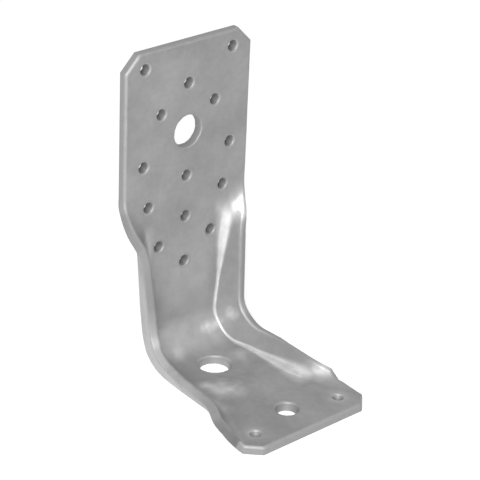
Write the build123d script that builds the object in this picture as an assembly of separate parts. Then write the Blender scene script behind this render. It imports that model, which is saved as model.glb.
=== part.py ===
"""Timber-to-concrete angle bracket: one strip of steel sheet, bent to an L, with pressed side flanges.

Frame: X across the strip, Y to the back, Z up. The underside of the foot leg lies in Z = 0, with
the origin halfway along it, and the back face of the upright leg faces +Y.
"""
from build123d import *
from math import atan2, ceil, cos, hypot, radians, sin, tan
import os

# Sheet strip
strip_width = 65.0
sheet_thickness = 4.0
upright_height = 141.0
foot_length = 86.0
upright_corner_cut = 6.9
foot_corner_cut = 5.8

# Bends: radii are those of the inner face
heel_bend_radius = 14.0
flange_bend_radius = 10.0
flange_angle = 72.0
mitre_bend_radius = 24.0

# Bend line of the flanges: distance from the middle of the strip at the heel, how much it spreads
# for each millimetre along the leg, where it turns outwards and where it leaves the strip; on the
# foot the run between the two and the plain strip beyond them are set from the front end
bend_line_at_heel = 12.3
upright_bend_spread = 0.054
upright_bend_turn = 54.9
upright_bend_exit = 86.1
foot_bend_spread = 0.095
foot_bend_run_out = 13.9
foot_plain_end = 7.2
bend_turn_radius = 22.0

# Free edge of the flanges: the corner where the two legs meet, and how far the pressing draws
# the strip edge in
flange_edge_corner_radius = 16.0
upright_edge_draw_in = 1.0
foot_edge_draw_in = 0.3

# Holes of the upright: distance from the middle line and drop from the top end
nail_hole_diameter = 5.0
bolt_hole_diameter = 14.0
wide_nail_from_middle = 22.6
wide_nail_drops = [7.2, 49.1]
narrow_nail_from_middle = 13.9
narrow_nail_drops = [28.3, 87.0]
third_nail_from_middle = 19.7
third_nail_drop = 67.7
middle_nail_drops = [17.9, 58.4, 76.8, 97.5]
upright_bolt_drop = 38.8

# Holes of the foot: distance from the middle line, from the front end or from the back face
foot_nail_from_middle = 22.5
foot_nail_from_end = 10.0
foot_bolt_from_back = 25.0
foot_anchor_hole_diameter = 10.0
foot_anchor_from_end = 16.2

half_width = strip_width / 2
bend_angle = radians(flange_angle)
lean_from_square = 90.0 - flange_angle
middle_radius = flange_bend_radius + sheet_thickness / 2
full_bend_length = middle_radius * bend_angle
straight_at_heel = half_width - bend_line_at_heel - full_bend_length
flange_height = middle_radius * (1 - cos(bend_angle)) + straight_at_heel * sin(bend_angle) + sheet_thickness / 2

# Room left round the bracket for the solids it is cut from
margin = sheet_thickness + (half_width - bend_line_at_heel) + flange_edge_corner_radius / 2
flange_room = flange_height + sheet_thickness
corner_end = flange_height + flange_edge_corner_radius
foot_bend_exit = foot_length - foot_plain_end
foot_bend_turn = foot_bend_exit - foot_bend_run_out

# Spacing of the sections that shape the strip edge
station_step = 1.5


class Leg:
    """One leg of the strip, seen in plan: x across the strip, a along the leg from the heel."""

    def __init__(self, plane, mirrored, length, spread, turn, exit_at, draw_in):
        self.plane = plane
        self.x_sign = -1 if mirrored else 1
        self.length = length
        self.draw_in = draw_in
        self.turn = (bend_line_at_heel + spread * turn, turn)
        self.exit = (half_width, exit_at)
        self.near_way = unit(spread, 1.0)
        self.far_way = unit(self.exit[0] - self.turn[0], self.exit[1] - self.turn[1])
        self.turn_angle = atan2(*self.far_way) - atan2(*self.near_way)
        self.turn_reach = bend_turn_radius * tan(self.turn_angle / 2)
        self.far_reach = hypot(self.exit[0] - self.turn[0], self.exit[1] - self.turn[1])

    def point(self, x, a, depth):
        """Place in the bracket of a point of the plan, at a depth in from the outer face."""
        return self.plane.from_local_coords(Vector(x * self.x_sign, a, depth))

    def direction(self, x, a, depth):
        return self.point(x, a, depth) - self.point(0, 0, 0)

    def block(self, x_range, a_range, depth_range):
        """Box between limits across, along and in depth."""
        ranges = (x_range, a_range, depth_range)
        middle = [(low + high) / 2 for low, high in ranges]
        sizes = [high - low for low, high in ranges]
        return self.plane * (Pos(middle[0] * self.x_sign, middle[1], middle[2]) * Box(*sizes))

    def on_bend_line(self, way, distance):
        """Point on one of the two straights of the bend line, measured from its turn."""
        return (self.turn[0] + way[0] * distance, self.turn[1] + way[1] * distance)

    def lean(self, plan, lift, height):
        """Solid with a flat floor of the given plan and sides that lean out by the flange angle."""
        floor = self.plane.offset(lift)
        solid = extrude(floor * plan, amount=height)
        sides = solid.faces().filter_by(lambda f: abs(f.normal_at().dot(floor.z_dir)) < 0.5)
        return draft(sides, floor, -lean_from_square)

    def trough(self, lift, setback):
        """Solid between the straight sides of the two bend lines, run on far beyond the corner."""
        low = self.on_bend_line(self.near_way, -(self.turn[1] + margin) / self.near_way[1])
        high = self.on_bend_line(self.near_way, (2 * margin - self.turn[1]) / self.near_way[1])
        with BuildSketch() as plan:
            with BuildLine():
                Polyline(low, high, (-high[0], high[1]), (-low[0], low[1]), close=True)
            make_face()
            offset(amount=setback, kind=Kind.INTERSECTION)
        return self.lean(plan.sketch, lift, 2 * margin)

    def pan(self, lift, setback):
        """Solid between the whole bend lines, which turn outwards and leave the strip."""
        low = self.on_bend_line(self.near_way, -(self.turn[1] + margin) / self.near_way[1])
        beyond = (half_width + margin - self.turn[0]) / self.far_way[0]
        far = self.on_bend_line(self.far_way, beyond)
        end = (far[0], max(self.length, far[1]) + margin)
        right = [low, self.turn, far, end]
        left = [(-x, a) for x, a in reversed(right)]
        with BuildSketch() as plan:
            with BuildLine():
                Polyline(*right, *left, close=True)
            make_face()
            offset(amount=setback, kind=Kind.INTERSECTION)
            turns = plan.vertices().sort_by(
                lambda v: hypot(abs(v.X) - self.turn[0], v.Y - self.turn[1])
            )
            fillet(turns[:2], bend_turn_radius - setback)
        return self.lean(plan.sketch, lift, flange_room + sheet_thickness)

    def station(self, spot, way):
        """Fold of the strip edge over the bend line at one spot of that line.

        Gives the place of the edge at mid thickness, the direction square to the sheet towards
        its outer face, and the direction in the sheet away from the web.
        """
        outward = (way[1], -way[0])
        turn_start = self.turn[1] - self.turn_reach * self.near_way[1]
        drawn = min(1, (self.exit[1] - spot[1]) / (self.exit[1] - turn_start))
        blank = (half_width - self.draw_in * drawn - spot[0]) / outward[0]
        arc = min(blank, full_bend_length)
        turned = arc / middle_radius
        straight = blank - arc
        run = middle_radius * sin(turned) + straight * cos(turned)
        rise = middle_radius * (1 - cos(turned)) + straight * sin(turned)
        place = self.point(
            spot[0] + run * outward[0],
            spot[1] + run * outward[1],
            sheet_thickness / 2 + rise,
        )
        square = self.direction(outward[0] * sin(turned), outward[1] * sin(turned), -cos(turned))
        away = self.direction(outward[0] * cos(turned), outward[1] * cos(turned), sin(turned))
        return place, square, away

    def near_station(self, distance):
        """Station on the straight of the bend line next to the heel, measured from its turn."""
        return self.station(self.on_bend_line(self.near_way, distance), self.near_way)

    def heel_distance(self):
        """Distance of the heel along that straight."""
        return -self.turn[1] / self.near_way[1]

    def corner_distance(self):
        """Distance along that straight at which the flange edge has left the corner of the legs."""
        return min((corner_end - self.turn[1]) / self.near_way[1], -self.turn_reach)

    def station_runs(self):
        """Stations from there to where the bend leaves the strip, in runs that each curve evenly."""
        approach = [
            (self.on_bend_line(self.near_way, distance), self.near_way)
            for distance in evenly(self.corner_distance(), -self.turn_reach, station_step)
        ]
        turn_start = self.on_bend_line(self.near_way, -self.turn_reach)
        centre_x = turn_start[0] + bend_turn_radius * self.near_way[1]
        centre_a = turn_start[1] - bend_turn_radius * self.near_way[0]
        headings = evenly(atan2(*self.near_way), atan2(*self.far_way), station_step / bend_turn_radius)
        turn = [
            (
                (centre_x - bend_turn_radius * cos(heading), centre_a + bend_turn_radius * sin(heading)),
                (sin(heading), cos(heading)),
            )
            for heading in headings
        ]
        leave = [
            (self.on_bend_line(self.far_way, distance), self.far_way)
            for distance in evenly(self.turn_reach, self.far_reach, station_step)
        ]
        runs = [places for places in (approach, turn, leave) if len(places) > 1]
        return [[self.station(spot, way) for spot, way in places] for places in runs]


def evenly(start, end, step):
    """Values from start to end at even spaces no wider than a step."""
    spaces = ceil((end - start) / step)
    return [start + (end - start) * i / spaces for i in range(spaces)] + [end]


def unit(x, a):
    size = hypot(x, a)
    return (x / size, a / size)


def half_of(solid, origin, keep_towards):
    """Piece of a solid on one side of a plane."""
    return split(solid, bisect_by=Plane(origin=origin, z_dir=keep_towards), keep=Keep.TOP)


def filled_corner(lift, flange_radius, heel_radius, mitre_radius):
    """Solid that fills the inside of the bracket up to one face of the sheet."""
    setback = flange_radius * tan(bend_angle / 2)
    across = (-half_width - margin, half_width + margin)
    depths = (-margin, flange_room + lift)
    solid = upright.trough(lift, setback) & foot.trough(lift, setback)
    heel_line = solid.edges().filter_by(Axis.X).sort_by(lambda e: e.center().Z - e.center().Y)[0]
    solid = fillet(heel_line, heel_radius)
    mitres = solid.edges().filter_by(GeomType.LINE).filter_by(
        lambda e: min(abs(e.tangent_at(0.5).Y), abs(e.tangent_at(0.5).Z)) > 0.2
        and abs(e.tangent_at(0.5).X) < 0.5
    )
    solid = fillet(mitres, mitre_radius)

    corner = upright.block(across, (-margin, margin), depths) + foot.block(across, (-margin, margin), depths)
    solid = solid & corner
    for leg in (upright, foot):
        solid = solid + (leg.pan(lift, setback) & leg.block(across, (margin, leg.length + margin), depths))
    round_heel = solid.faces().filter_by(GeomType.CYLINDER).sort_by(lambda f: abs(f.center().X))[0]
    web = [
        solid.faces().filter_by(Axis.Y).sort_by(Axis.Y)[-1],
        round_heel,
        solid.faces().filter_by(Axis.Z).sort_by(Axis.Z)[0],
    ]
    bend_lines = [e for face in web for e in face.edges() if abs(e.tangent_at(0.5).X) < 0.99]
    return fillet(bend_lines, flange_radius)


def beyond_flange(leg):
    """Block beyond the straight free edge of a flange, its face square to the flange."""
    heel_end, square, away = leg.near_station(leg.heel_distance())
    far_end = leg.near_station(leg.corner_distance())[0]
    run = (far_end - heel_end).normalized()
    outward = run.cross(square).normalized()
    if outward.dot(away) < 0:
        outward = -outward
    reach = 2 * (upright_height + foot_length)
    face = Plane(origin=heel_end, x_dir=run, z_dir=outward)
    return face * Box(reach, reach, 2 * margin, align=(Align.CENTER, Align.CENTER, Align.MIN))


def edge_section(place, square, away):
    """Section of the waste beyond the folded strip edge, one side of it square to the sheet."""
    inner = place - square * margin
    outer = place + square * sheet_thickness * 0.75
    return Face(Wire.make_polygon([inner, outer, outer + away * flange_room, inner + away * flange_room]))


def right_waste():
    """Everything beyond the right-hand edge of the strip, as a list of solids."""
    flange_waste = beyond_flange(upright) & beyond_flange(foot)
    corner = flange_waste.edges().filter_by(lambda e: abs(e.tangent_at(0.5).X) > 0.5)
    flange_waste = fillet(
        corner.sort_by(lambda e: e.center().Z - e.center().Y)[0], flange_edge_corner_radius
    )
    pieces = []
    for leg in (upright, foot):
        place, square, away = leg.near_station(leg.corner_distance())
        to_heel = square.cross(away)
        if to_heel.dot(leg.direction(0, 1, 0)) > 0:
            to_heel = -to_heel
        flange_waste = half_of(flange_waste, place, to_heel)
        for stations in leg.station_runs():
            pieces.append(loft([edge_section(*station) for station in stations]))
        strip_side = leg.block(
            (half_width, half_width + 3 * margin),
            (leg.exit[1] - 2 * margin, leg.length + 3 * margin),
            (-margin, 2 * margin),
        )
        leave = leg.direction(leg.far_way[0], leg.far_way[1], 0)
        pieces.append(half_of(strip_side, leg.point(*leg.exit, 0), leave))
    return [flange_waste] + pieces


def hole(leg, diameter, x, a):
    """Drill through one leg."""
    drill = Cylinder(diameter / 2, 3 * sheet_thickness)
    return leg.plane * (Pos(x * leg.x_sign, a, 0) * drill)


heel = (0, foot_length / 2, 0)
upright_plane = Plane(origin=heel, x_dir=(1, 0, 0), z_dir=(0, -1, 0))
foot_plane = Plane(origin=heel, x_dir=(-1, 0, 0), z_dir=(0, 0, 1))
upright = Leg(
    upright_plane,
    False,
    upright_height,
    upright_bend_spread,
    upright_bend_turn,
    upright_bend_exit,
    upright_edge_draw_in,
)
foot = Leg(
    foot_plane,
    True,
    foot_length,
    foot_bend_spread,
    foot_bend_turn,
    foot_bend_exit,
    foot_edge_draw_in,
)

outer = filled_corner(
    0,
    flange_bend_radius + sheet_thickness,
    heel_bend_radius + sheet_thickness,
    mitre_bend_radius + sheet_thickness,
)
inner = filled_corner(sheet_thickness, flange_bend_radius, heel_bend_radius, mitre_bend_radius)
room = Part()
for leg in (upright, foot):
    room = room + leg.block((-strip_width, strip_width), (-margin, leg.length), (-margin, flange_room))
bracket = (outer - inner) & room

for waste in right_waste():
    bracket = bracket - waste - mirror(waste, Plane.YZ)

top_corners = bracket.edges().filter_by(Axis.Y).filter_by(
    lambda e: abs(e.center().Z - upright_height) < sheet_thickness / 2
)
bracket = chamfer(top_corners, upright_corner_cut)
foot_corners = bracket.edges().filter_by(Axis.Z).filter_by(
    lambda e: abs(e.center().Y + foot_length / 2) < sheet_thickness / 2
)
bracket = chamfer(foot_corners, foot_corner_cut)

nails = [(wide_nail_from_middle, drop) for drop in wide_nail_drops]
nails += [(narrow_nail_from_middle, drop) for drop in narrow_nail_drops]
nails += [(third_nail_from_middle, third_nail_drop)]
holes = []
for from_middle, drop in nails:
    for side in (-1, 1):
        holes.append(hole(upright, nail_hole_diameter, side * from_middle, upright_height - drop))
for drop in middle_nail_drops:
    holes.append(hole(upright, nail_hole_diameter, 0, upright_height - drop))
holes.append(hole(upright, bolt_hole_diameter, 0, upright_height - upright_bolt_drop))
for side in (-1, 1):
    at = foot_length - foot_nail_from_end
    holes.append(hole(foot, nail_hole_diameter, side * foot_nail_from_middle, at))
holes.append(hole(foot, bolt_hole_diameter, 0, foot_bolt_from_back))
holes.append(hole(foot, foot_anchor_hole_diameter, 0, foot_length - foot_anchor_from_end))
bracket = bracket - holes

os.makedirs("parts", exist_ok=True)
export_step(bracket, "parts/angle_bracket.step")
print("solids", len(bracket.solids()), "valid", bracket.is_valid, "volume", round(bracket.volume, 1))
print("faces", len(bracket.faces()), "box", bracket.bounding_box())
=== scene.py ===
"""Looks of a timber-to-concrete angle bracket of zinc-coated sheet steel.

The visible sheet is folded here from one flat strip: a web, a heel bend, two pressed side flanges
that run out into the plain strip, sheared edges and punched holes. Lengths of the sheet are in
millimetres up to the mesh, which is in metres in the row frame.
"""

from __future__ import annotations

import logging
import math
from dataclasses import dataclass, field
from enum import Enum

import bpy
import numpy as np
from mathutils import Matrix, Vector, kdtree
from mathutils.geometry import delaunay_2d_cdt

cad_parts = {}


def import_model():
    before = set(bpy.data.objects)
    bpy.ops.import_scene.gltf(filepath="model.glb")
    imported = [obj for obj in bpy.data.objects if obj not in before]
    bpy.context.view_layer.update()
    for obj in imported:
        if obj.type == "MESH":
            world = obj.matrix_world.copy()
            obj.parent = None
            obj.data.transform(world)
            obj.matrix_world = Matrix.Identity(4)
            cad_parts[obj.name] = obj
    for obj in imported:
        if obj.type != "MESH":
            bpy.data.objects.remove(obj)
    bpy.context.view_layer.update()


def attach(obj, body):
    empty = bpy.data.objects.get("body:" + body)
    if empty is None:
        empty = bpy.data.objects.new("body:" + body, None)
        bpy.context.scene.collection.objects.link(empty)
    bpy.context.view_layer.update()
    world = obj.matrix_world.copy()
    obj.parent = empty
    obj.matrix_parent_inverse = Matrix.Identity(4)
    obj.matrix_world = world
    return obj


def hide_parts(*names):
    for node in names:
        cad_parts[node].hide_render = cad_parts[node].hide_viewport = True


LOG = logging.getLogger("bracket")
MILLIMETRE = 0.001
NODE_NAME = "angle_bracket"

# Lengths and slopes below this count as none
TINY = 1e-6

Colour = tuple[float, float, float, float]


class Leg(Enum):
    """The two legs of the angle."""

    UPRIGHT = "upright"
    FOOT = "foot"


class Side(Enum):
    """Faces of the sheet: the one inside the angle, and the one laid on timber and concrete."""

    INNER = "inner"
    OUTER = "outer"


class Layer(Enum):
    """Shares from 0 to 1 that the mesh keeps at its points, and that the finish reads: worn places of the
    coat, painted highlights and painted shade.
    """

    RIM = "rim"
    WALL = "wall"
    # Painted highlight along the root folds.
    FOLD = "fold"
    # Painted light over the heel bend.
    HEEL = "heel"
    # Real abrasions, and painted highlights.
    SCUFF = "scuff_and_highlight"
    # Painted shade deep in the holes.
    BORE = "bore"


class Ray(Enum):
    """Light Path outputs that see the white studio instead of the lit surface."""

    CAMERA = "Is Camera Ray"
    GLOSSY = "Is Glossy Ray"
    TRANSMISSION = "Is Transmission Ray"


# Sizes of the strip


@dataclass(frozen=True)
class LegSizes:
    """Sizes of one leg of the strip, at the middle of the sheet.

    Attributes:
        length: From the outer heel line to the free end.
        root: Distance of the flange's root line from the middle of the strip, at the heel line.
        spread: Outward run of the root line for each millimetre along the leg.
        turn: Distance from the heel at which the root line turns outwards.
        exit_at: Distance from the heel at which the root line leaves the strip.
        turn_radius: Radius of the free edge's turn towards the run-out.
        flange_angle: Rise of the flange from the web, in degrees.
        end_angle: Rise of the run-out facet from the web, in degrees.
        corner_cut: Leg of the chamfer on the end's corners.
        fold_highlight_lead: How much before the run-out the painted highlight along the fold starts to
            fade.
    """

    length: float
    root: float
    spread: float
    turn: float
    exit_at: float
    turn_radius: float
    flange_angle: float
    end_angle: float
    corner_cut: float
    fold_highlight_lead: float


@dataclass(frozen=True)
class StripSizes:
    """Sizes of the whole strip.

    Attributes:
        width: Across the plain strip.
        thickness: Of the sheet.
        heel_radius: Of the heel bend, at the middle of the sheet.
        mitre_blend: How far the rounding between the two legs' flanges reaches.
        end_blend: How far the rounding between flange and run-out reaches.
        root_blend: How far the rounding of the root reaches at the heel.
        root_growth: Growth of that reach for each millimetre along the leg.
        growth_from: Distance from the heel at which the growth starts.
        fold_highlight_reach: How far from the root the painted highlight along the fold reaches, on the
            web's side.
        fold_highlight_on_flange: Share of that reach on the flange's side.
        fold_highlight_growth: Growth of that reach for each millimetre along the leg.
        fold_highlight_body: How much the painted highlight is overdone in its middle, so that its border is
            firm.
        fold_highlight_end: How far past the start of a run-out the painted highlight fades out.
        edge_corner_radius: Of the flange's free edge round the corner, in side view.
        corner_reach: Distance from the heel up to which the corner's own stations go.
        tilt_room: How far the tilted edge of a run-out may stand out beyond the plain strip.
        upright: Sizes of the tall leg, which goes on the timber.
        foot: Sizes of the short leg, which goes on the concrete.
    """

    width: float = 65.0
    thickness: float = 4.0
    heel_radius: float = 16.0
    mitre_blend: float = 3.9
    end_blend: float = 1.4
    root_blend: float = 2.2
    root_growth: float = 0.09
    growth_from: float = 30.0
    # Band of the painted highlight along the root folds, which is also made smoother.
    fold_highlight_reach: float = 3.2
    fold_highlight_on_flange: float = 0.8
    fold_highlight_growth: float = 0.15
    fold_highlight_body: float = 1.6
    fold_highlight_end: float = 2.5
    edge_corner_radius: float = 13.3
    corner_reach: float = 34.0
    tilt_room: float = 0.4
    upright: LegSizes = LegSizes(
        length=141.0,
        root=17.04,
        spread=0.108,
        turn=59.2,
        exit_at=76.2,
        turn_radius=17.1,
        flange_angle=69.6,
        end_angle=62.6,
        corner_cut=6.9,
        fold_highlight_lead=0.0,
    )
    foot: LegSizes = LegSizes(
        length=86.0,
        root=18.67,
        spread=0.089,
        turn=71.5,
        exit_at=77.2,
        turn_radius=19.0,
        flange_angle=57.6,
        end_angle=48.9,
        corner_cut=5.8,
        fold_highlight_lead=4.0,
    )

    @property
    def half_width(self) -> float:
        """Half the width of the strip."""
        return self.width / 2

    @property
    def half_thickness(self) -> float:
        """Half the thickness of the sheet."""
        return self.thickness / 2

    @property
    def widest(self) -> float:
        """Furthest that the tilted edge may stand from the middle of the strip."""
        return self.half_width + self.tilt_room

    @property
    def heel_start(self) -> float:
        """Distance from the outer heel line at which the heel bend starts on either leg."""
        return self.half_thickness + self.heel_radius

    @property
    def heel_half(self) -> float:
        """Half the length of the heel bend at the middle of the sheet."""
        return self.heel_radius * math.pi / 4


@dataclass(frozen=True)
class Hole:
    """Punched hole.

    Attributes:
        across: Distance of its centre from the middle of the strip.
        along: Distance of its centre from the outer heel line along its leg.
        diameter: At the inner face.
        leg: The leg that it is in.
        inner_rim: Radius of the rim that the punch has rolled over.
        outer_rim: Radius of the rim on the outer face.
        taper: How much less its radius is at the outer face.
        wall_shade: Painted shade on its wall, from 0 to 1.
    """

    across: float
    along: float
    diameter: float
    leg: Leg = Leg.UPRIGHT
    inner_rim: float = 0.9
    outer_rim: float = 0.22
    taper: float = 1.2
    wall_shade: float = 0.7

    @property
    def radius(self) -> float:
        """Radius at the inner face."""
        return self.diameter / 2


@dataclass(frozen=True)
class HolePlan:
    """Places of the punched holes.

    Attributes:
        nail: Diameter of the nail holes.
        bolt: Diameter of the bolt holes.
        anchor: Diameter of the anchor hole.
        nail_pairs: Mirrored nail holes of the upright: distance across, and down from the top.
        nail_line: Nail holes on the upright's middle line: distances down from the top.
        bolt_drop: Distance of the upright's bolt hole down from the top.
        foot_nails: The foot's mirrored nail holes: distance across, and from the heel.
        foot_bolt_at: Distance of the foot's bolt hole from the heel.
        anchor_at: Distance of the anchor hole from the heel.
    """

    nail: float = 5.0
    bolt: float = 14.0
    anchor: float = 10.0
    nail_pairs: tuple[tuple[float, float], ...] = (
        (22.6, 7.2),
        (22.6, 49.1),
        (13.9, 28.3),
        (13.9, 87.0),
        (19.7, 67.7),
    )
    nail_line: tuple[float, ...] = (17.9, 58.4, 76.8, 97.5)
    bolt_drop: float = 38.8
    foot_nails: tuple[float, float] = (22.5, 76.0)
    foot_bolt_at: float = 25.0
    anchor_at: float = 69.8

    def holes(self, strip: StripSizes) -> tuple[Hole, ...]:
        """Lists the holes.

        Args:
            strip: Sizes of the strip that they are punched in.

        Returns:
            The holes of the upright, then those of the foot.
        """
        top = strip.upright.length
        both = (1.0, -1.0)
        holes = [
            Hole(way * across, top - drop, self.nail)
            for across, drop in self.nail_pairs
            for way in both
        ]
        holes += [Hole(0.0, top - drop, self.nail) for drop in self.nail_line]
        # Painted shade down the walls: less in the bolt hole than in the nail holes, none in the foot's
        # holes.
        holes.append(Hole(0.0, top - self.bolt_drop, self.bolt, inner_rim=0.65, taper=0.15, wall_shade=0.35))
        across, along = self.foot_nails
        holes += [Hole(way * across, along, self.nail, Leg.FOOT, wall_shade=0.0) for way in both]
        holes.append(Hole(0.0, self.foot_bolt_at, self.bolt, Leg.FOOT, inner_rim=1.1, taper=0.7, wall_shade=0.0))
        holes.append(Hole(0.0, self.anchor_at, self.anchor, Leg.FOOT, inner_rim=1.0, taper=0.9, wall_shade=0.0))
        return tuple(holes)


# Small tools of geometry


def unit(vectors: np.ndarray) -> np.ndarray:
    """Vectors brought to a length of one."""
    return vectors / np.linalg.norm(vectors, axis=-1, keepdims=True)


def without(vectors: np.ndarray, way: np.ndarray) -> np.ndarray:
    """Vectors less their part along unit vectors, brought to a length of one."""
    return unit(vectors - way * (vectors * way).sum(-1, keepdims=True))


def run_shares(points: np.ndarray) -> np.ndarray:
    """Share of a polyline's length up to each of its points.

    Args:
        points: The polyline's points.

    Returns:
        Shares from 0 to 1.
    """
    steps = np.linalg.norm(np.diff(points, axis=0), axis=1)
    total = np.concatenate([[0.0], np.cumsum(steps)])
    return total / total[-1]


def follow(spots: np.ndarray, known: np.ndarray, points: np.ndarray) -> np.ndarray:
    """Places between known points, by straight lines.

    Args:
        spots: Where places are wanted.
        known: Where the points stand, rising.
        points: The known points.

    Returns:
        A place for each spot.
    """
    return np.stack([np.interp(spots, known, column) for column in points.T], -1)


def nearest_gaps(marks: np.ndarray, places: np.ndarray) -> np.ndarray:
    """Distances to the nearest mark.

    Args:
        marks: Flat places to measure to.
        places: Flat places to measure from.

    Returns:
        A distance for each place.
    """
    tree = kdtree.KDTree(len(marks))
    for i, (u, v) in enumerate(marks):
        tree.insert((u, v, 0.0), i)
    tree.balance()
    return np.array([tree.find((u, v, 0.0))[2] for u, v in places])


def round_max(a: np.ndarray, b: np.ndarray, reach: np.ndarray | float) -> np.ndarray:
    """Larger of two levels, rounded where they meet.

    Args:
        a: First level.
        b: Second level.
        reach: How far the rounding reaches on either side.

    Returns:
        The rounded level.
    """
    over = np.hypot(np.maximum(a + reach, 0.0), np.maximum(b + reach, 0.0))
    return np.minimum(-reach, np.maximum(a, b)) + over


# Pressing the strip


@dataclass(frozen=True)
class Facet:
    """Plane of the press: outward unit normal and its distance from the outer heel corner."""

    normal: np.ndarray
    offset: float

    def level(self, points: np.ndarray) -> np.ndarray:
        """Distance of points beyond the plane."""
        return points @ self.normal - self.offset


class RootLine:
    """Root line and free edge of one leg's flange, seen in the leg's own plan."""

    def __init__(self, leg: Leg, sizes: LegSizes, strip: StripSizes) -> None:
        """Works out the straights and the turn of the root line.

        Args:
            leg: Which leg it is on.
            sizes: Sizes of this leg.
            strip: Sizes of the whole strip.
        """
        self.leg = leg
        self.sizes = sizes
        self.strip = strip
        self.turn_x = sizes.root + sizes.spread * sizes.turn
        self.near = math.atan(sizes.spread)
        self.far = math.atan2(strip.half_width - self.turn_x, sizes.exit_at - sizes.turn)
        reach = sizes.turn_radius * math.tan((self.far - self.near) / 2)
        self.turn_start = sizes.turn - reach * math.cos(self.near)
        self.turn_end = sizes.turn + reach * math.cos(self.far)
        start_x = self.turn_x - reach * math.sin(self.near)
        self.centre_x = start_x + sizes.turn_radius * math.cos(self.near)
        self.centre_along = self.turn_start - sizes.turn_radius * math.sin(self.near)

    def stood(self, across: np.ndarray, along: np.ndarray, depth: np.ndarray) -> np.ndarray:
        """Turns the leg's own distances into places of the bracket.

        Args:
            across: Distances across.
            along: Distances along the leg.
            depth: Distances in from the leg's outer face.

        Returns:
            Places (x, d, z).
        """
        if self.leg is Leg.UPRIGHT:
            return np.stack([across, depth, along], -1)
        return np.stack([across, along, depth], -1)

    def spot(self, along: np.ndarray) -> tuple[np.ndarray, np.ndarray]:
        """Root line at given distances from the heel.

        Args:
            along: Distances from the outer heel line.

        Returns:
            The root line's distance from the middle of the strip, and its heading.
        """
        radius = self.sizes.turn_radius
        turning = np.arcsin(np.clip((along - self.centre_along) / radius, -1.0, 1.0))
        before, turned = along <= self.turn_start, along >= self.turn_end
        x = self.centre_x - radius * np.cos(turning)
        x = np.where(before, self.sizes.root + self.sizes.spread * along, x)
        x = np.where(turned, self.turn_x + (along - self.sizes.turn) * math.tan(self.far), x)
        heading = np.where(before, self.near, np.where(turned, self.far, turning))
        return np.minimum(x, self.strip.half_width), heading

    def edge(self, along: np.ndarray) -> np.ndarray:
        """Free edge of the sheet whose square meets the root line at given places.

        Args:
            along: Distances from the outer heel line.

        Returns:
            Places (x, d, z) of the edge.
        """
        x, heading = self.spot(along)
        width = np.maximum(self.strip.half_width - x, 0.0) / np.cos(heading)
        width = np.where(along < self.sizes.exit_at, width, 0.0)
        share = np.clip((heading - self.near) / (self.far - self.near), 0.0, 1.0)
        rise = self.sizes.flange_angle + share * (self.sizes.end_angle - self.sizes.flange_angle)
        run = width * np.cos(np.radians(rise))
        depth = self.strip.half_thickness + width * np.sin(np.radians(rise))
        return self.stood(x + run * np.cos(heading), along - run * np.sin(heading), depth)

    def facet(self, run_out: bool) -> Facet:
        """Plane of the flange or of its run-out.

        Args:
            run_out: Whether the run-out is asked for.

        Returns:
            The plane over (x, d, z).
        """
        heading = self.far if run_out else self.near
        rise = math.radians(self.sizes.end_angle if run_out else self.sizes.flange_angle)
        across, along = math.cos(heading) * math.sin(rise), -math.sin(heading) * math.sin(rise)
        normal = self.stood(across, along, -math.cos(rise))
        turn = self.stood(self.turn_x, self.sizes.turn, self.strip.half_thickness)
        return Facet(normal, float(normal @ turn))

    def turns_near(self, along: float) -> bool:
        """True on the turn of the root line and a little before and after it."""
        room_before, room_after = 3.0, 4.0
        return self.turn_start - room_before < along < self.turn_end + room_after


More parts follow.
